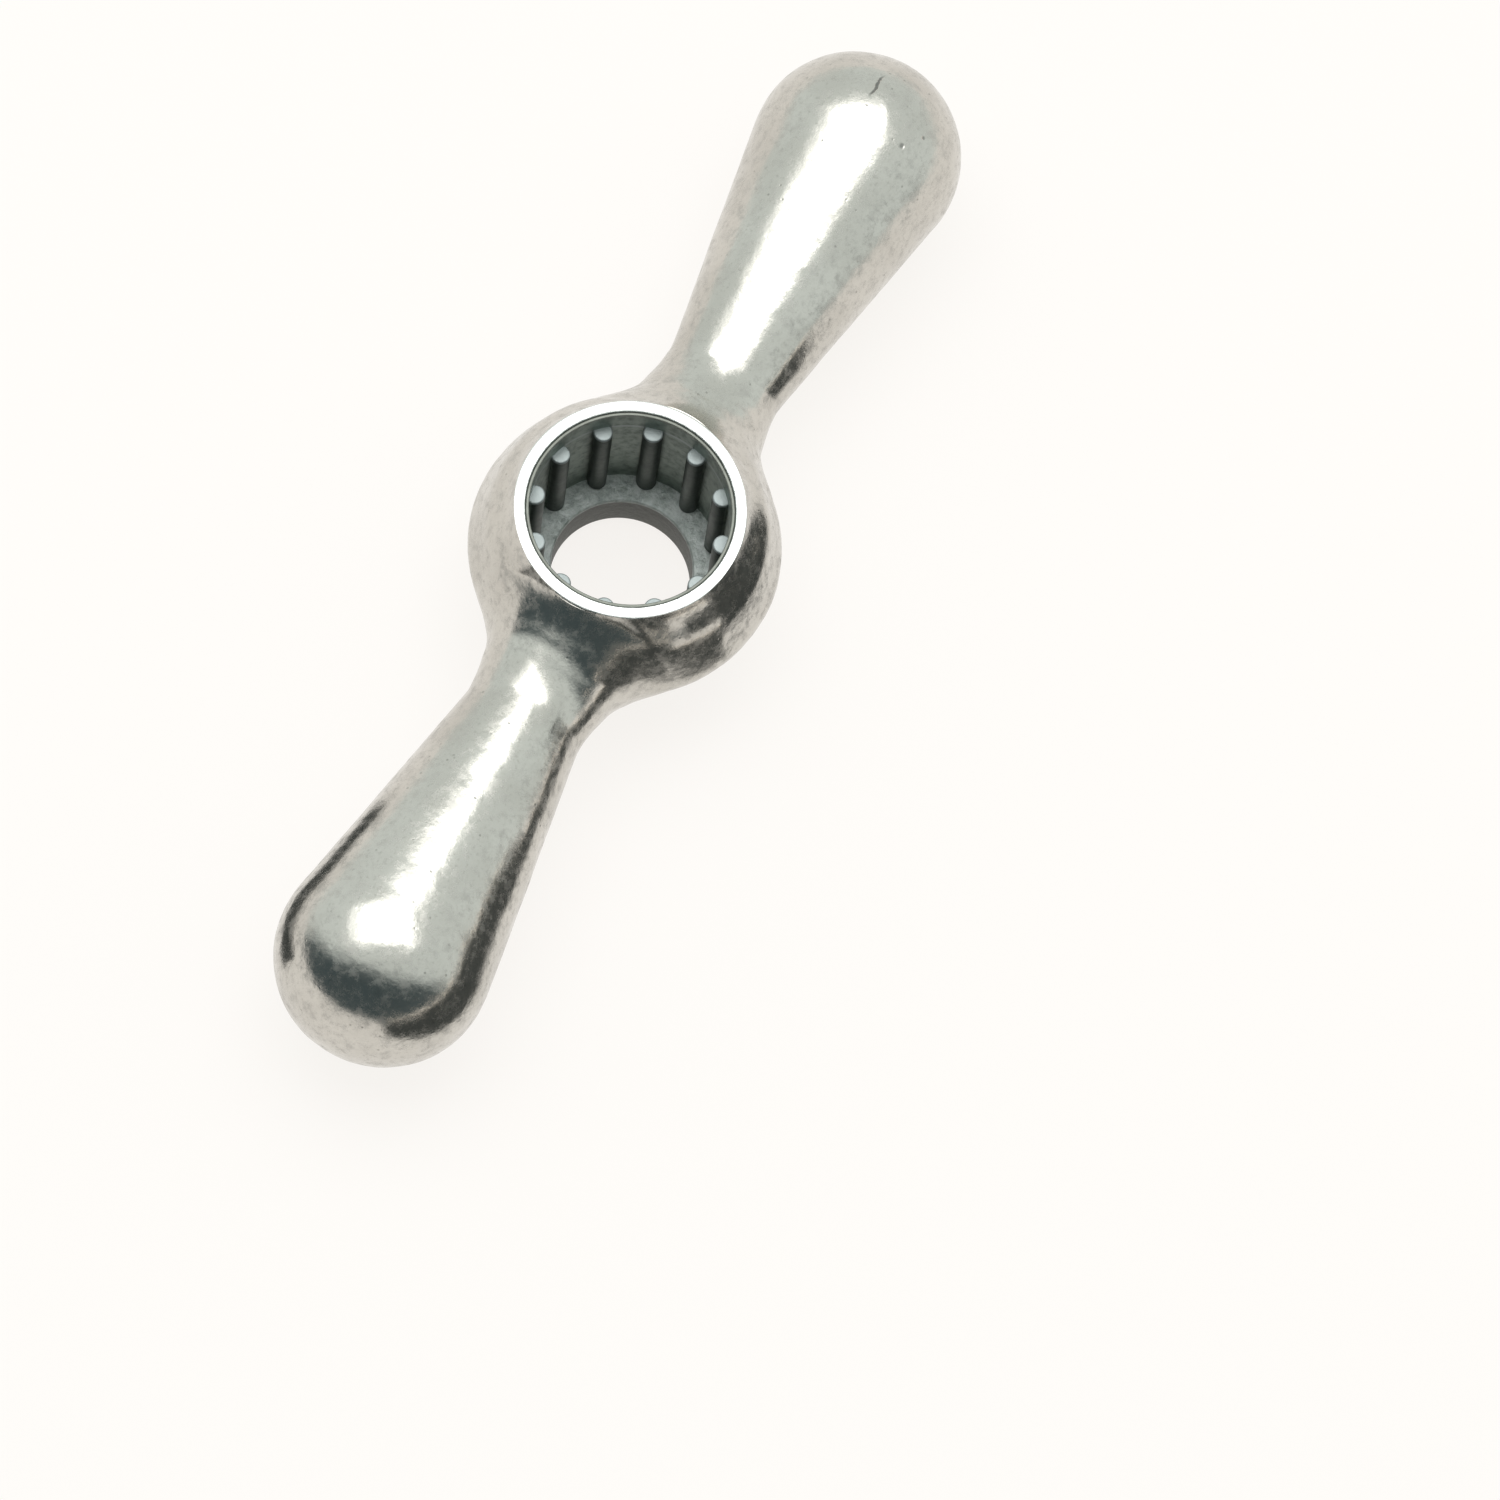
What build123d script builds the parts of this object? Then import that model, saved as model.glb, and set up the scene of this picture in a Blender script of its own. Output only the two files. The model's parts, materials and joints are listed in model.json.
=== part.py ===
"""Two-armed wing nut with a twelve-ribbed drive sleeve pressed into its hub.

Millimetres.  +X runs along the wings, +Z points out of the socket's mouth, and the origin
is the centre of the base face that the hub stands on.
"""

from build123d import *
from math import asin, cos, radians, sin
import os

# The hexagon nut that the socket turns, and the ribs that grip its corners.
NUT_FLATS = 13.0
NUT_PLAY = 0.04
RIB_COUNT = 12
RIB_R = 0.8
RIB_TURN = 13.9
RIB_TOP_BREAK = 0.2

# The sleeve that carries the ribs.
SLEEVE_R = 8.2
SLEEVE_WALL = 0.33
SLEEVE_LIP_BREAK = 0.12
SLEEVE_DROP = 0.2
RIB_DROP = 2.2

# The hub: a barrel that tapers both ways from its waist, with a blind socket and a floor hole.
HUB_HEIGHT = 17.3
WAIST_Z = 9.1
WAIST_CORNER_R = 12.6
WAIST_ROUND = 4.0
FLANK_BULGE = 0.32
RIM_WIDTH = 0.8
RIM_EDGE = 0.25
SOCKET_DEPTH = 12.4
FLOOR_HOLE_R = 5.6
FLOOR_HOLE_EDGE = 0.25
BASE_CHAMFER = 1.3

# The wings: straight tapers that end in round grips.
GRIP_R = 8.56
GRIP_X = 38.8
WING_Z = 8.8
NECK_R = 4.12
NECK_X = 12.0
ROOT_X = 9.4
ROOT_FILLET = 3.4

RIM_R = SLEEVE_R + RIM_WIDTH
FLOOR_Z = HUB_HEIGHT - SOCKET_DEPTH
HALF_RIB_STEP = radians(180 / RIB_COUNT)
RIB_REACH = (NUT_FLATS / 2) / cos(HALF_RIB_STEP) + NUT_PLAY
RIB_CENTRE_R = RIB_REACH + RIB_R
WING_ANGLE = asin((GRIP_R - NECK_R) / (GRIP_X - NECK_X))


def flank_middle(end_z):
    """The point where one flank of the hub bulges out most, between its waist and end_z."""
    return ((RIM_R + WAIST_CORNER_R) / 2 + FLANK_BULGE, (WAIST_Z + end_z) / 2)


def wing_radius(x):
    """The radius of the wing's taper at a distance x from the hub's axis."""
    return (GRIP_R - sin(WING_ANGLE) * (GRIP_X - x)) / cos(WING_ANGLE)


# --- Wing body: hub and both wings, cast in one piece ---
with BuildPart() as hub_blank:
    with BuildSketch(Plane.XZ):
        with BuildLine():
            waist = (WAIST_CORNER_R, WAIST_Z)
            Polyline((RIM_R, 0), (0, 0), (0, HUB_HEIGHT), (RIM_R, HUB_HEIGHT))
            ThreePointArc((RIM_R, HUB_HEIGHT), flank_middle(HUB_HEIGHT), waist)
            ThreePointArc(waist, flank_middle(0), (RIM_R, 0))
        make_face()
        fillet(vertices().sort_by(Axis.X)[-1], WAIST_ROUND)
    revolve(axis=Axis.Z)

with BuildPart() as wing_blank:
    with BuildSketch(Plane.XZ):
        with BuildLine():
            taper_end = GRIP_X - GRIP_R * sin(WING_ANGLE)
            taper_start = (ROOT_X, WING_Z + wing_radius(ROOT_X))
            grip_edge = (taper_end, WING_Z + GRIP_R * cos(WING_ANGLE))
            grip_top = (GRIP_X, WING_Z + GRIP_R)
            grip_tip = (GRIP_X + GRIP_R, WING_Z)
            Polyline(grip_tip, (ROOT_X, WING_Z), taper_start, grip_edge)
            ThreePointArc(grip_edge, grip_top, grip_tip)
        make_face()
    revolve(axis=Axis((0, 0, WING_Z), (1, 0, 0)))

with BuildPart() as wing_body:
    add(hub_blank.part)
    for turn in (0, 180):
        add(wing_blank.part, rotation=(0, 0, turn))
    roots = edges().filter_by(lambda e: NECK_X - 3 < abs(e.center().X) < NECK_X + 3)
    fillet(roots.filter_by(lambda e: abs(e.center().Z - WING_Z) < 1), ROOT_FILLET)
    with Locations(Plane.XY.offset(HUB_HEIGHT)):
        Hole(radius=SLEEVE_R, depth=SOCKET_DEPTH)
    with Locations(Plane.XY.offset(FLOOR_Z)):
        Hole(radius=FLOOR_HOLE_R)
    rim_edge = edges().filter_by(GeomType.CIRCLE).filter_by_position(Axis.Z, HUB_HEIGHT, HUB_HEIGHT)
    fillet(rim_edge.sort_by(SortBy.RADIUS)[-1], RIM_EDGE)
    hole_edges = edges().filter_by(GeomType.CIRCLE).filter_by(lambda e: abs(e.radius - FLOOR_HOLE_R) < 0.01)
    fillet(hole_edges.sort_by(Axis.Z)[-1], FLOOR_HOLE_EDGE)
    chamfer(hole_edges.sort_by(Axis.Z)[0], BASE_CHAMFER)
wing_body.part.label = "wing_body"

# --- Drive sleeve: a thin ring with half-round ribs, pressed to the socket's floor ---
with BuildPart() as drive_sleeve:
    with BuildSketch(Plane.XY.offset(FLOOR_Z)):
        Circle(SLEEVE_R)
        Circle(SLEEVE_R - SLEEVE_WALL, mode=Mode.SUBTRACT)
    extrude(amount=SOCKET_DEPTH - SLEEVE_DROP)
    lip = edges().group_by(Axis.Z)[-1].sort_by(SortBy.RADIUS)[-1]
    chamfer(lip, SLEEVE_LIP_BREAK)
    with BuildSketch(Plane.XY.offset(FLOOR_Z)):
        with PolarLocations(RIB_CENTRE_R, RIB_COUNT, start_angle=RIB_TURN):
            Circle(RIB_R)
        Circle(SLEEVE_R - SLEEVE_WALL / 2, mode=Mode.INTERSECT)
    extrude(amount=SOCKET_DEPTH - RIB_DROP)
    round_edges = edges().filter_by(GeomType.CIRCLE).filter_by(lambda e: abs(e.radius - RIB_R) < 0.01)
    chamfer(round_edges.group_by(Axis.Z)[-1], RIB_TOP_BREAK)
drive_sleeve.part.label = "drive_sleeve"

os.makedirs("parts", exist_ok=True)
for piece in (wing_body.part, drive_sleeve.part):
    export_step(piece, f"parts/{piece.label}.step")
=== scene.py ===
# %% [markdown]
# # A cast wing nut with a pressed-in drive sleeve
#
# The part is a hand nut: two drumstick wings and a barrel hub, cast in one piece and tumbled to a
# satin shine, and inside the hub a thin sleeve whose twelve ribs grip a hexagon nut.  The design
# model gives every size and place.  This script builds a finer body and a finer sleeve around it,
# in metres, and gives them their metal.

# %% Load the design model
import json
import math
import random

import bpy
from mathutils import Matrix, Vector


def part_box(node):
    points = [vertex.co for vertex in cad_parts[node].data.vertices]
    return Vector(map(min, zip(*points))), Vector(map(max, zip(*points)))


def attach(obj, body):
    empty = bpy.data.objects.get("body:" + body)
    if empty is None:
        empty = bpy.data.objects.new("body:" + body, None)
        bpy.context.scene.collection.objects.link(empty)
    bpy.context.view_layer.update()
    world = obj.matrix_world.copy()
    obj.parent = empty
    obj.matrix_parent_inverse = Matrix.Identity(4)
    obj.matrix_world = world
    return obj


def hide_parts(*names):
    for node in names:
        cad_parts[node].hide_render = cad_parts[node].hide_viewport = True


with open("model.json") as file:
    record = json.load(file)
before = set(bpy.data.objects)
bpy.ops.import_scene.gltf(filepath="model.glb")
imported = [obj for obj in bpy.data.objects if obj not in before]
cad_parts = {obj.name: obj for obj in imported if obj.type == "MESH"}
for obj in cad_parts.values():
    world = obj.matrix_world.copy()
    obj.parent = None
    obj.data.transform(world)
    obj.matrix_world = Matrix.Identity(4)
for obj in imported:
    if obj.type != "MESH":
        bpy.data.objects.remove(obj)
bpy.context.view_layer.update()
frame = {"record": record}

MM = 0.001
mounts = {mount["name"]: mount for mount in frame["record"]["mounts"]}
body_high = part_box("wing_body")[1]
sleeve_low, sleeve_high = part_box("drive_sleeve")

rim_z = mounts["rim_face"]["pos_m"][2]
rib_top_z = mounts["hex_socket"]["pos_m"][2]
hole_r = mounts["floor_hole"]["dims"]["r_mm"] * MM
sleeve_r = sleeve_high.x
lip_z = sleeve_high.z
floor_z = sleeve_low.z
half_span = body_high.x
print(f"span {2 * half_span / MM:.1f} mm, hub height {rim_z / MM:.1f} mm")
print(f"socket radius {sleeve_r / MM:.1f} mm, floor hole radius {hole_r / MM:.1f} mm")

# %% [markdown]
# ## The camera
#
# A product shot of a small part is taken from well back with a long lens, so that the near wing
# isn't swollen.  The camera looks steeply down along the wings.  It is placed by its direction and
# its distance from the hub, and aimed a little to the right of the hub and below it, which leaves
# the part in the upper left of the frame.

# %% Camera
VIEW_TURN = math.radians(-72.73)
VIEW_HEIGHT = math.radians(69.55)
VIEW_ROLL = math.radians(11.62)
VIEW_DISTANCE = 612.3 * MM
AIM_RIGHT = 9.8 * MM
AIM_DOWN = 16.0 * MM
LENS = 187.4
hub_centre = Vector((0, 0, 9.4 * MM))

back = Vector((math.sin(VIEW_TURN) * math.cos(VIEW_HEIGHT),
               -math.cos(VIEW_TURN) * math.cos(VIEW_HEIGHT),
               math.sin(VIEW_HEIGHT)))
level_right = Vector((math.cos(VIEW_TURN), math.sin(VIEW_TURN), 0))
level_up = back.cross(level_right)
view_right = level_right * math.cos(VIEW_ROLL) + level_up * math.sin(VIEW_ROLL)
view_up = level_up * math.cos(VIEW_ROLL) - level_right * math.sin(VIEW_ROLL)

camera = bpy.data.objects.new("camera", bpy.data.cameras.new("camera"))
bpy.context.scene.collection.objects.link(camera)
camera.data.lens = LENS
stand = hub_centre + view_right * AIM_RIGHT - view_up * AIM_DOWN + back * VIEW_DISTANCE
turn = Matrix((view_right, view_up, back)).transposed()
camera.matrix_world = Matrix.Translation(stand) @ turn.to_4x4()
camera.data.clip_start = 10 * MM
bpy.context.scene.camera = camera
bpy.context.scene.view_settings.view_transform = "Standard"
print("camera at", [round(c, 3) for c in stand])

# %% [markdown]
# ## Wires: writing shader maths as sums
#
# A material is a graph of nodes.  Drawing it by hand is slow to read back, so one small class
# wraps an output socket: adding or multiplying two wires adds the Math node that does it.  The
# class Bench stands for one material's node tree, and its one method adds any other node.

# %% Node helpers
class Wire:
    """One output socket; arithmetic on it adds Math nodes."""

    def __init__(self, bench, socket):
        self.bench, self.socket = bench, socket

    def math(self, operation, *others):
        """This wire put through a Math node, before any other inputs."""
        return self.bench.node("ShaderNodeMath", {"operation": operation}, (self, *others))

    def __add__(self, other):
        return self.math("ADD", other)

    def __sub__(self, other):
        return self.math("SUBTRACT", other)

    def __rsub__(self, other):
        return self.bench.node("ShaderNodeMath", {"operation": "SUBTRACT"}, (other, self))

    def __mul__(self, other):
        return self.math("MULTIPLY", other)

    __radd__ = __add__
    __rmul__ = __mul__

    def between(self, low, high):
        """0 below low, 1 above high, and a smooth step from one to the other."""
        inputs = {"Value": self, "From Min": low, "From Max": high}
        return self.bench.node("ShaderNodeMapRange", {"interpolation_type": "SMOOTHSTEP"}, inputs)


class Bench:
    """One node tree, and the one way that nodes are added to it."""

    # A Mix node has number, vector and colour sockets side by side.  These are the colour ones.
    MIX_MASK, MIX_FIRST, MIX_SECOND, MIX_RESULT = 0, 6, 7, 2

    def __init__(self, tree):
        self.tree = tree
        tree.nodes.clear()

    def node(self, kind, settings=None, inputs=None, output=0):
        """Adds a node; inputs are wires or values, by name or in order.  Returns its output wire."""
        made = self.tree.nodes.new(kind)
        for name, value in (settings or {}).items():
            setattr(made, name, value)
        pairs = inputs.items() if isinstance(inputs, dict) else enumerate(inputs or ())
        for name, value in pairs:
            if isinstance(value, Wire):
                self.tree.links.new(value.socket, made.inputs[name])
            else:
                made.inputs[name].default_value = value
        if made.outputs:
            return Wire(self, made.outputs[output])

    def blend(self, mask, first, second):
        """A colour: first where the mask is 0, second where it is 1."""
        first, second = (c if isinstance(c, Wire) else (*c, 1) for c in (first, second))
        inputs = {self.MIX_MASK: mask, self.MIX_FIRST: first, self.MIX_SECOND: second}
        return self.node("ShaderNodeMix", {"data_type": "RGBA"}, inputs, self.MIX_RESULT)


def new_material(name):
    """An empty material, and the bench to build it on."""
    material = bpy.data.materials.new(name)
    material.use_nodes = True
    return material, Bench(material.node_tree)


# %% [markdown]
# ## Selecting
#
# Blender's operators act on all that is selected, and loading leaves the design model selected.
# So everything is deselected before a new shape is added, and an operator that is meant for one
# piece first picks that piece alone.

# %% Selection helpers
def deselect_all():
    bpy.ops.object.select_all(action="DESELECT")


def pick(piece):
    """Makes one piece the only one selected, and the active one."""
    deselect_all()
    piece.select_set(True)
    bpy.context.view_layer.objects.active = piece


# %% [markdown]
# ## The floor
#
# Metal shows its surroundings, so the studio makes most of the look.  The floor is a light table:
# it glows a little, which keeps it white under the hub and puts a pale edge along every outline.
# A little plain white paint in it still takes the part's soft shadow.

# %% Light table
FLOOR_SIZE = 3.0
PAPER = (0.10, 0.10, 0.10, 1)
TABLE_GLOW = (1.0, 0.970, 0.935, 1)
TABLE_STRENGTH = 0.875
deselect_all()
bpy.ops.mesh.primitive_plane_add(size=FLOOR_SIZE, location=(0, 0, 0))
table = bpy.context.object
table.name = table.data.name = "light_table"
table_white, bench = new_material("table_white")
paper = bench.node("ShaderNodeBsdfDiffuse", None, {"Color": PAPER})
glow = bench.node("ShaderNodeEmission", None, {"Color": TABLE_GLOW, "Strength": TABLE_STRENGTH})
lit = bench.node("ShaderNodeAddShader", None, (paper, glow))
bench.node("ShaderNodeOutputMaterial", None, (lit,))
table.data.materials.append(table_white)
print("light table", FLOOR_SIZE, "m wide")

# %% [markdown]
# ## The soft box
#
# One big soft box hangs high on the far left, and its long reflection is the white streak on each
# wing.  A real soft box is weaker towards its edge, so a narrow dim light continues it along one
# side, and the streak fades out there instead of ending in a hard line.

# %% Soft box
BOX_HEIGHT = 0.90
BOX_CORNER = Vector((0.13, -0.44, BOX_HEIGHT))
BOX_LONG = Vector((0.880, 0.475, 0))
BOX_WIDE = Vector((-0.475, 0.880, 0))
BOX_LENGTH = 0.80
BOX_WIDTH = 0.95
BOX_POWER = 7.0
EDGE_WIDTH = 0.24
EDGE_POWER = 0.45


def hang_light(name, start, width, power):
    """A panel as long as the soft box, which starts this far across from the box's near corner."""
    light = bpy.data.objects.new(name, bpy.data.lights.new(name, "AREA"))
    bpy.context.scene.collection.objects.link(light)
    light.data.shape = "RECTANGLE"
    light.data.size, light.data.size_y = BOX_LENGTH, width
    light.data.energy = power
    light.location = BOX_CORNER + BOX_LONG * BOX_LENGTH / 2 + BOX_WIDE * (start + width / 2)
    light.rotation_euler = (0, 0, math.atan2(BOX_LONG.y, BOX_LONG.x))
    light.visible_camera = False
    print(f"{name}: {BOX_LENGTH} by {width} m, {power} W")


hang_light("soft_box", 0, BOX_WIDTH, BOX_POWER)
hang_light("soft_box_edge", BOX_WIDTH, EDGE_WIDTH, EDGE_POWER)

# %% [markdown]
# ## Black flags and pale strips
#
# In a studio, low black cards called flags stand beside shiny metal: their reflections draw the
# dark line along each flank that gives it its shape.  A pale strip on top of a flag is the bright
# thread at the dark line's edge.  Each card is a plane stood on edge.  Only reflections show it,
# so the camera never sees it, and it neither lights the part nor shades it.

# %% Cards
BLACK = (0.055, 0.062, 0.060)
BLACK_GLOW = 1.0
PALE = (1.0, 0.93, 0.84)
PALE_GLOW = 1.35


def stand_card(name, start, end, low, high, colour, glow):
    """A card on edge from start to end, between two heights, all in millimetres."""
    along = Vector(end) - Vector(start)
    middle = (Vector(start) + Vector(end)) / 2
    deselect_all()
    bpy.ops.mesh.primitive_plane_add(size=1, location=(*middle * MM, (low + high) / 2 * MM))
    card = bpy.context.object
    card.name = card.data.name = name
    card.scale = (along.length * MM, (high - low) * MM, 1)
    card.rotation_euler = (math.pi / 2, 0, math.atan2(along.y, along.x))
    paint, bench = new_material(name)
    light = bench.node("ShaderNodeEmission", None, {"Color": (*colour, 1), "Strength": glow})
    bench.node("ShaderNodeOutputMaterial", None, (light,))
    card.data.materials.append(paint)
    for rays in ("camera", "diffuse", "transmission", "shadow", "volume_scatter"):
        setattr(card, "visible_" + rays, False)


flags = [
    ("grip", (-80, -22), (-17, -22), 0, 14.8, 1.0),
    ("neck", (-17, -22), (-4, -22), 0, 8.5, 0.9),
    ("hub", (-4, -27), (12, -24), 0, 15.5, 1.0),
    ("hub_end", (12, -24), (24, -21), 0, 12.0, 1.0),
    ("left", (-50, 19), (-22, 19), 0, 9.5, 0),
    ("close", (-9, -15.5), (2, -16), 13.9, 19.0, 0),
]
for place, start, end, low, high, strip in flags:
    stand_card("flag_" + place, start, end, low, high, BLACK, BLACK_GLOW)
    if strip:
        stand_card("strip_" + place, start, end, high, high + strip, PALE, PALE_GLOW)
print(len(flags), "flags")

# %% [markdown]
# ## The room
#
# The room is light all round, and dark only on the near side, behind the camera.  That dark side
# is what the near wing's tip and the saddle beside the hub mirror.

# %% Room
ROOM_LIGHT = (0.845, 0.915, 0.90)
ROOM_DARK = (0.068, 0.094, 0.102)
DARK_SIDE = (-0.830, -0.120, -0.545)
DARK_FROM = -0.10
DARK_FULL = 0.16
room = bpy.data.worlds.new("room")
bpy.context.scene.world = room
room.use_nodes = True
bench = Bench(room.node_tree)
direction = bench.node("ShaderNodeTexCoord", output="Generated")
facing = bench.node("ShaderNodeVectorMath", {"operation": "DOT_PRODUCT"}, (direction, DARK_SIDE), "Value")
walls = bench.blend(facing.between(DARK_FROM, DARK_FULL), ROOM_LIGHT, ROOM_DARK)
background = bench.node("ShaderNodeBackground", None, {"Color": walls, "Strength": 1.0})
bench.node("ShaderNodeOutputWorld", None, (background,))
print("stage set")

# %% [markdown]
# ## Turning a solid
#
# The hub, the wings and the cutting tools are all round, so one helper turns them as a lathe would:
# a filled circle is extruded from ring to ring, and each new ring is scaled to its radius.

# %% Helpers for modelling
def turned(name, rings, sides, hollow=False):
    """A solid of revolution about Z.  rings are (radius, height) from one end to the other.
    A hollow one is a ring: its last ring is its first again."""
    deselect_all()
    fill = "NOTHING" if hollow else "NGON"
    first_r, first_z = rings[0]
    bpy.ops.mesh.primitive_circle_add(vertices=sides, radius=first_r, fill_type=fill,
                                      location=(0, 0, first_z))
    bpy.ops.object.transform_apply(location=True)
    solid = bpy.context.object
    solid.name = solid.data.name = name
    bpy.ops.object.mode_set(mode="EDIT")
    bpy.ops.mesh.select_all(action="SELECT")
    for (last_r, last_z), (r, z) in zip(rings, rings[1:]):
        bpy.ops.mesh.extrude_region_move(TRANSFORM_OT_translate={"value": (0, 0, z - last_z)})
        bpy.ops.transform.resize(value=(r / last_r, r / last_r, 1), center_override=(0, 0, z))
    bpy.ops.mesh.select_all(action="SELECT")
    bpy.ops.mesh.remove_doubles(threshold=0.001 * MM)
    bpy.ops.mesh.normals_make_consistent(inside=False)
    bpy.ops.object.mode_set(mode="OBJECT")
    return solid


def work(piece, kind, **settings):
    """Gives a piece one modifier with these settings and applies it at once."""
    pick(piece)
    modifier = piece.modifiers.new(kind.lower(), kind)
    for name, value in settings.items():
        setattr(modifier, name, value)
    bpy.ops.object.modifier_apply(modifier=modifier.name)


def settle(piece):
    """Puts a piece's place, turn and scale into its mesh, so that the piece sits at the origin."""
    pick(piece)
    bpy.ops.object.transform_apply(location=True, rotation=True, scale=True)


def joined(pieces, name):
    """One object made of several."""
    pick(pieces[0])
    for piece in pieces:
        piece.select_set(True)
    bpy.ops.object.join()
    pieces[0].name = pieces[0].data.name = name
    return pieces[0]


def arc(centre_r, centre_z, radius, start, end, steps):
    """(radius, height) points along an arc from start to end, in degrees from outwards to upwards."""
    angles = [math.radians(start + (end - start) * step / steps) for step in range(steps + 1)]
    return [(centre_r + radius * math.cos(a), centre_z + radius * math.sin(a)) for a in angles]


def steps_between(start, end, count):
    """count + 1 evenly spaced numbers, from start to end."""
    return [start + (end - start) * step / count for step in range(count + 1)]


# %% [markdown]
# ## The hub blank
#
# The hub is a barrel with a rounded waist, a shoulder and a short steep collar under the rim.  Its
# outline is drawn with sharp corners, and each radius is then the mean of the outline a little
# above and below, which rounds the corners as a file would.  It is made a little too tall at both
# ends, because the facing tool will cut it to height.

# %% Hub blank
RIM_WIDTH = 0.92 * MM
CORNER_ROUNDING = 0.7 * MM
SPARE = 0.5 * MM
hub_r = body_high.y
rim_r = sleeve_r + RIM_WIDTH
hub_corners = [
    (-2.0 * MM, rim_r - 0.9 * MM),
    (0, rim_r),
    (9.2 * MM, hub_r + 0.12 * MM),
    (14.2 * MM, 10.95 * MM),
    (16.1 * MM, 9.54 * MM),
    (rim_z, rim_r),
    (rim_z + 2 * MM, rim_r - 0.7 * MM),
]


def corner_radius(z):
    """The hub's radius at a height, before its corners are rounded."""
    for (low_z, low_r), (high_z, high_r) in zip(hub_corners, hub_corners[1:]):
        if z <= high_z:
            return low_r + (high_r - low_r) * (z - low_z) / (high_z - low_z)


def hub_radius(z):
    """The hub's radius at a height, with its corners rounded."""
    offsets = steps_between(-CORNER_ROUNDING, CORNER_ROUNDING, count=16)
    nearby = [corner_radius(z + offset) for offset in offsets]
    return sum(nearby) / len(nearby)


levels = steps_between(-SPARE, rim_z + SPARE, count=60)
hub = turned("hub_blank", [(hub_radius(z), z) for z in levels], sides=128)
print(f"hub blank {2 * max(hub_radius(z) for z in levels) / MM:.1f} mm across")

# %% [markdown]
# ## The wing blanks
#
# Each wing is a straight taper that runs tangent into a ball, and flares a little where it enters
# the hub.  A second, wider flare lies over the root: it is squeezed sideways, so it fills the
# saddle between the wing's top and the rim but leaves the flanks slim.  A real pattern maker turns
# such shapes and joins them with filler.  Here they are turned, laid over each other and remeshed
# into one even skin, which has no seam.

# %% Wing blanks
GRIP_R = 8.56 * MM
NECK_R = 4.12 * MM
NECK_X = 12.0 * MM
ROOT_X = 7.0 * MM
FLARE_X = 18.5 * MM
FLARE_REACH = 8.0 * MM
FLARE = 1.7 * MM
SADDLE_ROOT_X = 8.0 * MM
SADDLE_X = 18.0 * MM
SADDLE_FLARE = 3.3 * MM
SADDLE_NARROWING = 0.85
grip_x = half_span - GRIP_R
wing_z = body_high.z - GRIP_R
taper = math.asin((GRIP_R - NECK_R) / (grip_x - NECK_X))
grip_start = grip_x - GRIP_R * math.sin(taper)


def wing_radius(x, flare=FLARE, flare_x=FLARE_X):
    """The radius of the wing at a distance from the hub's axis: a taper that flares at the root."""
    straight = (GRIP_R - math.sin(taper) * (grip_x - x)) / math.cos(taper)
    return straight + flare * (max(0, flare_x - x) / FLARE_REACH) ** 3


wing_rings = [(wing_radius(x), x) for x in steps_between(ROOT_X, grip_start, count=32)[:-1]]
wing_rings += arc(0, grip_x, GRIP_R, -math.degrees(taper), 89, steps=32)
saddle_rings = [(wing_radius(x, SADDLE_FLARE, SADDLE_X), x)
                for x in steps_between(SADDLE_ROOT_X, SADDLE_X, count=16)]
arms = []
for side in (1, -1):
    wing = turned("wing_blank", wing_rings, sides=96)
    saddle = turned("saddle_blank", saddle_rings, sides=96)
    saddle.scale = (1, SADDLE_NARROWING, 1)
    for arm in (wing, saddle):
        arm.rotation_euler = (0, side * math.pi / 2, 0)
        arm.location = (0, 0, wing_z)
        settle(arm)
        arms.append(arm)
print(f"wings taper {math.degrees(taper):.1f} degrees a side")

# %% One skin
SKIN_GRID = 0.30 * MM
body = joined([hub, *arms], "wing_body_skin")
work(body, "REMESH", mode="VOXEL", voxel_size=SKIN_GRID)
work(body, "SMOOTH", factor=0.5, iterations=6)
print("casting blank:", len(body.data.vertices), "points")

# %% [markdown]
# ## The roots
#
# Where a wing meets the hub, the skin still has a sharp inner corner.  The real corner is filled to
# a soft curve a few millimetres wide.  Smoothing pulls a corner into just such a curve, so a
# vertex group holds the points near the corner, strongest in the middle, and a smooth modifier
# works on that group alone.  Smoothing also shrinks, so the group is then swollen again.

# %% Fill the wing roots
ROOT_REACH = 5.0 * MM
ROOT_GRIP = 1.6
ROOT_PASSES = 220
ROOT_FILL = 0.62 * MM
POLISH_PASSES = 12
roots = body.vertex_groups.new(name="roots")
held = 0
for point in body.data.vertices:
    x, y, z = point.co
    off_hub = math.hypot(x, y) - hub_radius(z)
    off_wing = math.hypot(y, z - wing_z) - wing_radius(abs(x), flare=0)
    nearness = 1 - max(off_hub, off_wing) / ROOT_REACH
    if nearness > 0:
        roots.add([point.index], min(1, ROOT_GRIP * nearness), "REPLACE")
        held += 1
work(body, "SMOOTH", factor=0.5, iterations=ROOT_PASSES, vertex_group="roots")
work(body, "DISPLACE", strength=ROOT_FILL, mid_level=0, vertex_group="roots")
work(body, "SMOOTH", factor=0.5, iterations=POLISH_PASSES, vertex_group="roots")
print("roots filled over", held, "points")

# %% [markdown]
# ## Hand-finished skin
#
# A tumbled casting is never quite true: it has broad, shallow waves that bend the reflections, and
# smaller dimples.  Two displacement modifiers with cloud textures push the skin in and out by a few
# hundredths of a millimetre.  They come before the cutting, so the machined faces stay flat.

# %% Waves and dimples
def uneven(piece, size, height):
    """Moves a piece's skin in smooth clouds of this size, by up to this height in all, mostly inwards."""
    clouds = bpy.data.textures.new("clouds", "CLOUDS")
    clouds.noise_scale = size
    work(piece, "DISPLACE", texture=clouds, texture_coords="LOCAL", strength=height, mid_level=0.8)
    print(f"waves of {size / MM:.1f} mm, {height / MM:.3f} mm high")


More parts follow.
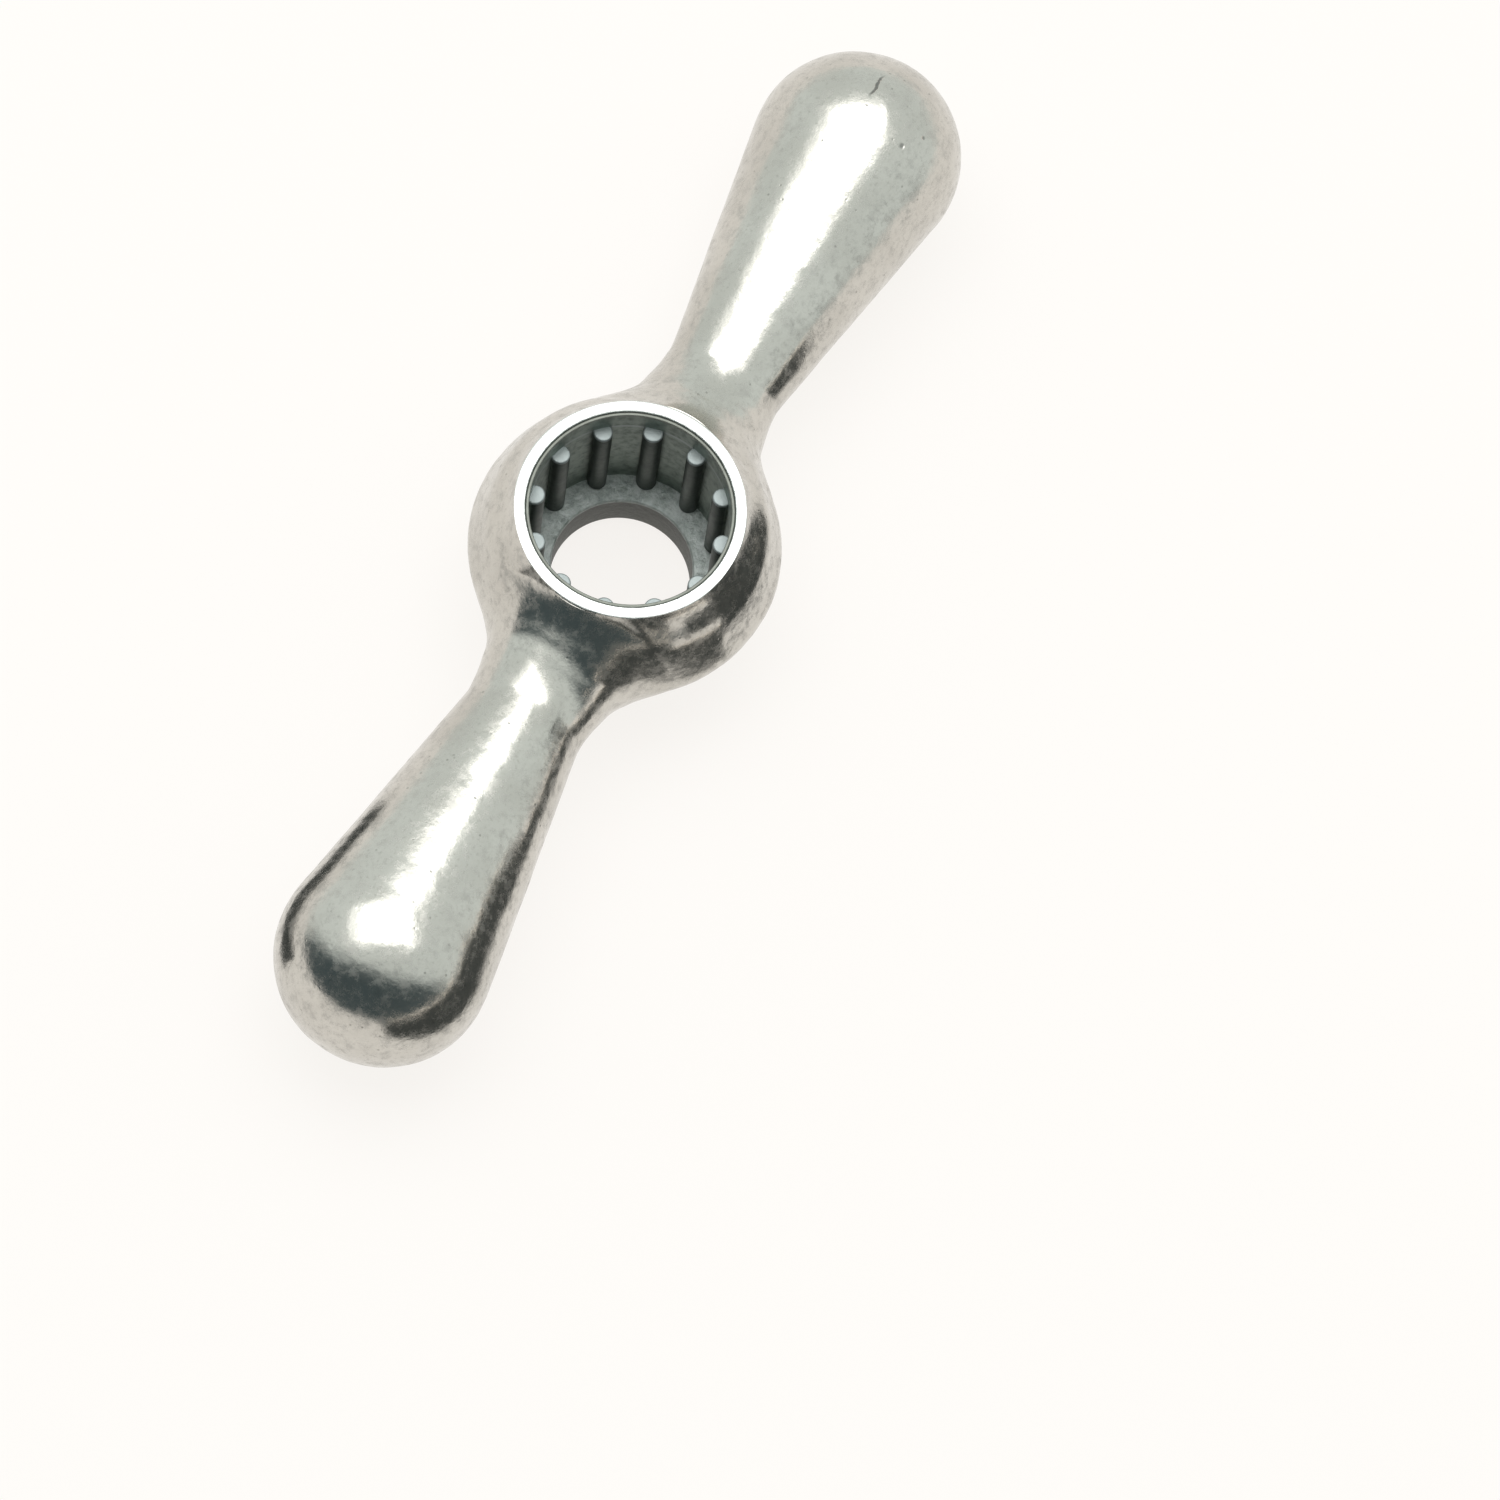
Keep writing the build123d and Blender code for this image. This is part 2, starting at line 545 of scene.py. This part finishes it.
uneven(body, size=7.0 * MM, height=0.16 * MM)
uneven(body, size=1.6 * MM, height=0.035 * MM)

# %% [markdown]
# ## Facing and boring
#
# On the real part the rim is faced and the socket and the floor hole are bored after casting.  One
# turned tool does all of it here: its outline is the hole, the floor, the bore and the rounded rim,
# and a boolean takes it away from the blank, which leaves crisp true edges in a wavy skin.

# %% The tool's outline
RIM_EDGE = 0.30 * MM
RIM_EDGE_START = 20
BASE_EDGE = 0.25 * MM
BASE_EDGE_END = -15
MOUTH_BREAK = 0.10 * MM
HOLE_BREAK = 0.25 * MM
BASE_CHAMFER = 1.3 * MM
TOOL_R = 15.5 * MM
TOOL_OVER = 4 * MM

rim_foot = rim_z - RIM_EDGE * (1 - math.sin(math.radians(RIM_EDGE_START)))
rim_turn_r = hub_radius(rim_foot) - RIM_EDGE * math.cos(math.radians(RIM_EDGE_START))
top_round = arc(rim_turn_r, rim_z - RIM_EDGE, RIM_EDGE, RIM_EDGE_START, 90, steps=7)
base_round = arc(rim_r - BASE_EDGE, BASE_EDGE, BASE_EDGE, -90, BASE_EDGE_END, steps=5)
tool_outline = (
    [(TOOL_R, rim_z + TOOL_OVER), (TOOL_R, top_round[0][1])]
    + top_round
    + [(sleeve_r + MOUTH_BREAK, rim_z), (sleeve_r, rim_z - MOUTH_BREAK)]
    + [(sleeve_r, z) for z in steps_between(rim_z, floor_z, count=6)[1:]]
    + arc(hole_r + HOLE_BREAK, floor_z - HOLE_BREAK, HOLE_BREAK, 90, 180, steps=4)
    + [(hole_r, BASE_CHAMFER), (hole_r + BASE_CHAMFER, 0)]
    + base_round
    + [(TOOL_R, base_round[-1][1]), (TOOL_R, -TOOL_OVER)]
)
print(f"rim turned from radius {rim_turn_r / MM:.2f} mm, tool outline of {len(tool_outline)} points")

# %% Cut the hub
SHARP_EDGE = math.radians(32)
tool = turned("facing_tool", tool_outline, sides=176)
work(body, "BOOLEAN", operation="DIFFERENCE", solver="EXACT", object=tool)
bpy.data.objects.remove(tool)
bpy.ops.object.shade_smooth_by_angle(angle=SHARP_EDGE)
print("body cut:", len(body.data.polygons), "faces")

# %% [markdown]
# ## The drive sleeve
#
# The sleeve is a thin ring with a small break on its outer lip, which leaves the fine dark line
# between it and the rim.  One rib is made: a round bar with a softened top, sliced flat at the
# back.  It is copied twelve times, each with its own mesh and a little foundry error, and fused.

# %% Sleeve ring
SLEEVE_WALL = 0.33 * MM
LIP_BREAK = 0.12 * MM
inner_r = sleeve_r - SLEEVE_WALL
ring_outline = [
    (inner_r, floor_z),
    (inner_r, lip_z - LIP_BREAK / 2),
    (inner_r + LIP_BREAK / 2, lip_z),
    (sleeve_r - LIP_BREAK, lip_z),
    (sleeve_r, lip_z - LIP_BREAK),
    (sleeve_r, floor_z),
    (inner_r, floor_z),
]
sleeve = turned("drive_sleeve_shell", ring_outline, sides=192, hollow=True)
print(f"sleeve ring {2 * inner_r / MM:.2f} mm inside, {(lip_z - floor_z) / MM:.1f} mm tall")

# %% One rib
RIB_R = 0.8 * MM
RIB_CENTRE_R = 7.57 * MM
RIB_TOP_SOFT = 0.28 * MM
rib_height = rib_top_z - floor_z
back_of_rib = sleeve_r - SLEEVE_WALL / 2

deselect_all()
bpy.ops.mesh.primitive_cylinder_add(vertices=32, radius=RIB_R, depth=rib_height,
                                    location=(RIB_CENTRE_R, 0, floor_z + rib_height / 2))
bpy.ops.object.transform_apply(location=True)
rib = bpy.context.object
bpy.ops.object.mode_set(mode="EDIT")
bpy.ops.mesh.select_all(action="SELECT")
bpy.ops.mesh.bisect(plane_co=(back_of_rib, 0, 0), plane_no=(1, 0, 0), use_fill=True, clear_outer=True)
bpy.ops.object.mode_set(mode="OBJECT")
work(rib, "BEVEL", width=RIB_TOP_SOFT, segments=4, limit_method="ANGLE", angle_limit=math.radians(60))
print(f"rib {rib_height / MM:.1f} mm tall")

# %% Twelve ribs
RIB_COUNT = 12
RIB_TURN = math.radians(13.9)
TURN_ERROR = 0.006
WIDTH_ERROR = 0.05
SHARP_RIB_EDGE = math.radians(40)
chance = random.Random(12)
ribs = []
for index in range(RIB_COUNT):
    copy = rib.copy()
    copy.data = rib.data.copy()
    bpy.context.scene.collection.objects.link(copy)
    error = chance.uniform(-TURN_ERROR, TURN_ERROR)
    copy.rotation_euler = (0, 0, RIB_TURN + math.tau * index / RIB_COUNT + error)
    copy.scale = (1, 1 + chance.uniform(-WIDTH_ERROR, WIDTH_ERROR), 1)
    settle(copy)
    ribs.append(copy)
bpy.data.objects.remove(rib)
all_ribs = joined(ribs, "ribs")
work(sleeve, "BOOLEAN", operation="UNION", solver="EXACT", object=all_ribs)
bpy.data.objects.remove(all_ribs)
bpy.ops.object.shade_smooth_by_angle(angle=SHARP_RIB_EDGE)
print("sleeve:", len(sleeve.data.polygons), "faces")

# %% [markdown]
# ## The metal: patterns
#
# Both pieces are the same grey alloy in different states.  Every unevenness in it comes from three
# small helpers: clouds of noise at a size in millimetres, scattered round pits, and a bump that
# turns heights into slopes for the light.  Two more give a point's place, and its distance from
# the hub's axis, from which the masks are made.

# %% Pattern helpers
def noise(bench, place, size, detail=2.0, roughness=0.5):
    """Cloudy noise from 0 to 1, with features of this size in millimetres."""
    inputs = {"Vector": place, "Scale": 1 / (size * MM), "Detail": detail, "Roughness": roughness}
    return bench.node("ShaderNodeTexNoise", None, inputs)


def bump(bench, height):
    """A normal from a height in millimetres."""
    return bench.node("ShaderNodeBump", None, {"Height": height, "Distance": MM, "Strength": 1.0})


def pits(bench, place, spacing, size):
    """Scattered round pits: 1 at a pit's middle, 0 away from it."""
    cells = bench.node("ShaderNodeTexVoronoi", None, {"Vector": place, "Scale": 1 / (spacing * MM)})
    return 1 - cells.between(0, size / spacing)


def axes(bench, place):
    """A place's x, y and z."""
    apart = bench.node("ShaderNodeSeparateXYZ", None, (place,)).socket.node
    return [Wire(bench, output) for output in apart.outputs]


def from_hub_axis(bench, place):
    """A place's distance from the hub's axis."""
    x, y, z = axes(bench, place)
    return (x * x + y * y).math("SQRT")


# %% [markdown]
# ## The metal: where each finish lies
#
# The outside of the body is tumbled: glossy, but mottled and finely pitted, so reflections have
# ragged edges.  Inside the socket the as-cast skin is left, dull and grey-green.  The wall of the
# floor hole is painted much darker, as painted shade in the hole.  The rim is faced bright.  Masks
# made from the distance to the axis and from the height put each finish, and the hole's painted
# shade, in its place, so one material covers the whole casting.

# %% Areas of the casting
def casting_areas(bench, place):
    """Masks for the inside of the hub, the wall of the floor hole, and the rim."""
    z = axes(bench, place)[2]
    from_axis = from_hub_axis(bench, place)
    inside = 1 - from_axis.between(sleeve_r + 0.02 * MM, sleeve_r + 0.08 * MM)
    inside = inside * z.between(0.2 * MM, 0.4 * MM)
    in_hole = inside * (1 - z.between(floor_z - 0.35 * MM, floor_z - 0.15 * MM))
    rim = from_axis.between(sleeve_r, sleeve_r + 0.05 * MM) * z.between(rim_z - 0.10 * MM, rim_z - 0.03 * MM)
    rim = rim * (1 - from_axis.between(rim_r, rim_r + 0.1 * MM))
    return inside, in_hole, rim


# %% [markdown]
# ## The gate mark
#
# Molten metal runs into a mould through a gate, and the stub is broken off afterwards.  Here it
# left a short wavering crack on top of one wing's tip, with two pits beside it.  The crack is a
# mask: near a line along the wing that noise pushes from side to side, and between two places.

# %% Gate mark
GATE_Y = 0.35 * MM
GATE_WANDER = 0.9 * MM
gate_pits = [((38.2, -3.8, 16.4), 0.32), ((40.0, -4.9, 15.7), 0.24)]


def gate_mark(bench, place):
    """1 in the crack, nearly 1 in the two pits beside it, and 0 elsewhere."""
    x, y, z = axes(bench, place)
    wander = (noise(bench, place, 1.2) - 0.5) * GATE_WANDER
    off_line = (y + wander - GATE_Y).math("ABSOLUTE")
    mark = z.between(9 * MM, 10 * MM) * (1 - off_line.between(0.05 * MM, 0.16 * MM))
    mark = mark * x.between(40.3 * MM, 40.9 * MM) * (1 - x.between(42.4 * MM, 43.2 * MM))
    for middle, pit_r in gate_pits:
        inputs = (place, [c * MM for c in middle])
        away = bench.node("ShaderNodeVectorMath", {"operation": "DISTANCE"}, inputs, "Value")
        mark = mark + 0.8 * (1 - away.between(0.08 * MM, pit_r * MM))
    return mark


# %% [markdown]
# ## The cast metal
#
# The colour is laid in thin coats, each over the last through its own mask: blotches, mottle,
# specks and pits, then the bright rim, the dull inside and painted shade on the floor hole's wall.
# The same mottle that darkens the skin also roughens it, because grime sits where the tumbling
# stones didn't reach.

# %% Cast metal
SKIN = (0.605, 0.583, 0.535)
SKIN_BLOTCH = (0.540, 0.518, 0.472)
SKIN_MOTTLE = (0.43, 0.415, 0.385)
SKIN_SPECK = (0.36, 0.345, 0.315)
PIT_GRIME = (0.22, 0.21, 0.19)
GATE_GRIME = (0.10, 0.10, 0.095)
RIM_BRIGHT = (0.93, 0.92, 0.90)
AS_CAST = (0.52, 0.55, 0.53)
AS_CAST_MOTTLE = (0.24, 0.27, 0.25)
# Painted shade: the wall of the floor hole is painted near black, where shade falls in the hole.
HOLE_PAINTED_SHADE = (0.11, 0.113, 0.103)


def cast_metal():
    metal, bench = new_material("cast_metal")
    place = bench.node("ShaderNodeTexCoord", output="Object")
    inside, in_hole, rim = casting_areas(bench, place)
    mark = gate_mark(bench, place)
    blotches = noise(bench, place, 5.0, detail=3.0)
    mottle = noise(bench, place, 0.9, detail=5.0, roughness=0.7)
    specks = noise(bench, place, 0.34, detail=3.0, roughness=0.6)
    small_pits = pits(bench, place, 1.3, 0.16)

    skin = bench.blend(blotches.between(0.35, 0.70), SKIN, SKIN_BLOTCH)
    skin = bench.blend(mottle.between(0.42, 0.75) * 0.75, skin, SKIN_MOTTLE)
    skin = bench.blend(specks.between(0.52, 0.80) * 0.55, skin, SKIN_SPECK)
    skin = bench.blend(small_pits * 0.7, skin, PIT_GRIME)
    skin = bench.blend(mark * 0.75, skin, GATE_GRIME)
    skin = bench.blend(rim * 0.85, skin, RIM_BRIGHT)
    dull_with_hole_shade = bench.blend(mottle.between(0.35, 0.75), AS_CAST, AS_CAST_MOTTLE)
    # Painted shade on the wall of the floor hole.
    dull_with_hole_shade = bench.blend(in_hole, dull_with_hole_shade, HOLE_PAINTED_SHADE)
    colour = bench.blend(inside, skin, dull_with_hole_shade)

    gloss = 0.17 + mottle.between(0.40, 0.80) * 0.26 + blotches.between(0.4, 0.8) * 0.06
    gloss = gloss * (1 - inside) + inside * 0.55
    ripple = noise(bench, place, 1.1, detail=3.0, roughness=0.6)
    nicks = noise(bench, place, 0.5, detail=3.0, roughness=0.65)
    height = ripple * 0.020 + nicks * 0.009 - small_pits * 0.012 - mark * 0.06
    height = height * (1 - rim * 0.8) + inside * (mottle * 0.20 + specks * 0.04)

    shader = bench.node("ShaderNodeBsdfPrincipled", None, {
        "Base Color": colour, "Roughness": gloss, "Metallic": 1 - inside * 0.35,
        "Normal": bump(bench, height)})
    bench.node("ShaderNodeOutputMaterial", None, (shader,))
    return metal


# %% [markdown]
# ## The sleeve's metal
#
# The sleeve is duller and darker than the body.  The tops of the ribs are painted lighter, a
# painted highlight where they face the light.  The ribs' inner halves are painted near black, a
# painted shade along their sides, and the lip's top band is painted a brownish grey.

# %% Sleeve metal
SLEEVE_DULL = (0.26, 0.30, 0.265)
SLEEVE_MOTTLE = (0.135, 0.16, 0.14)
# Painted shade: the ribs' inner halves are painted near black, as the shade along their sides.
RIB_PAINTED_SHADE = (0.04, 0.05, 0.042)
# Painted highlight: a lighter band at the tops of the ribs, where they face the light.
RIB_TOP_PAINTED_HIGHLIGHT = (0.33, 0.36, 0.355)
# A brownish grey band on the sleeve's lip, darker than the sleeve's own grey.
LIP_BROWN_GREY = (0.20, 0.20, 0.175)


def sleeve_metal():
    metal, bench = new_material("sleeve_metal")
    place = bench.node("ShaderNodeTexCoord", output="Object")
    z = axes(bench, place)[2]
    mottle = noise(bench, place, 0.7, detail=4.0, roughness=0.65)
    grain = noise(bench, place, 0.2)
    # The band at the rib tops that carries the painted highlight.
    rib_top_highlight = z.between(rib_top_z - 0.35 * MM, rib_top_z - 0.12 * MM)
    rib_top_highlight = rib_top_highlight * (1 - z.between(rib_top_z, rib_top_z + 0.1 * MM))
    lip = z.between(lip_z - 0.3 * MM, lip_z - 0.1 * MM)
    # The ribs' inner halves, which carry the painted shade.
    rib_shade_mask = 1 - from_hub_axis(bench, place).between(inner_r - 0.30 * MM, inner_r - 0.05 * MM)

    colour = bench.blend(mottle.between(0.35, 0.75), SLEEVE_DULL, SLEEVE_MOTTLE)
    # Painted shade on the ribs' inner halves.
    colour = bench.blend(rib_shade_mask * 0.85, colour, RIB_PAINTED_SHADE)
    # Painted highlight on the rib tops.
    colour = bench.blend(rib_top_highlight, colour, RIB_TOP_PAINTED_HIGHLIGHT)
    # The lip's brownish grey band.
    colour = bench.blend(lip * 0.8, colour, LIP_BROWN_GREY)
    height = mottle * 0.03 + grain * 0.008
    shader = bench.node("ShaderNodeBsdfPrincipled", None, {
        "Base Color": colour, "Roughness": 0.45 + mottle * 0.15, "Metallic": 0.7,
        "Normal": bump(bench, height)})
    bench.node("ShaderNodeOutputMaterial", None, (shader,))
    return metal


# %% Put the metal on
for piece, metal in ((body, cast_metal()), (sleeve, sleeve_metal())):
    piece.data.materials.clear()
    piece.data.materials.append(metal)
    print(piece.name, "wears", metal.name, "made of", len(metal.node_tree.nodes), "nodes")

# %% [markdown]
# ## Standing in for the design model
#
# Nothing on this part moves, so both pieces ride on the one body, root, and each hides the plain
# design solid that it stands for.

# %% Ride and replace
for piece, node, slot in ((body, "wing_body", "cast_body"), (sleeve, "drive_sleeve", "ribbed_sleeve")):
    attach(piece, "root")
    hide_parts(node)
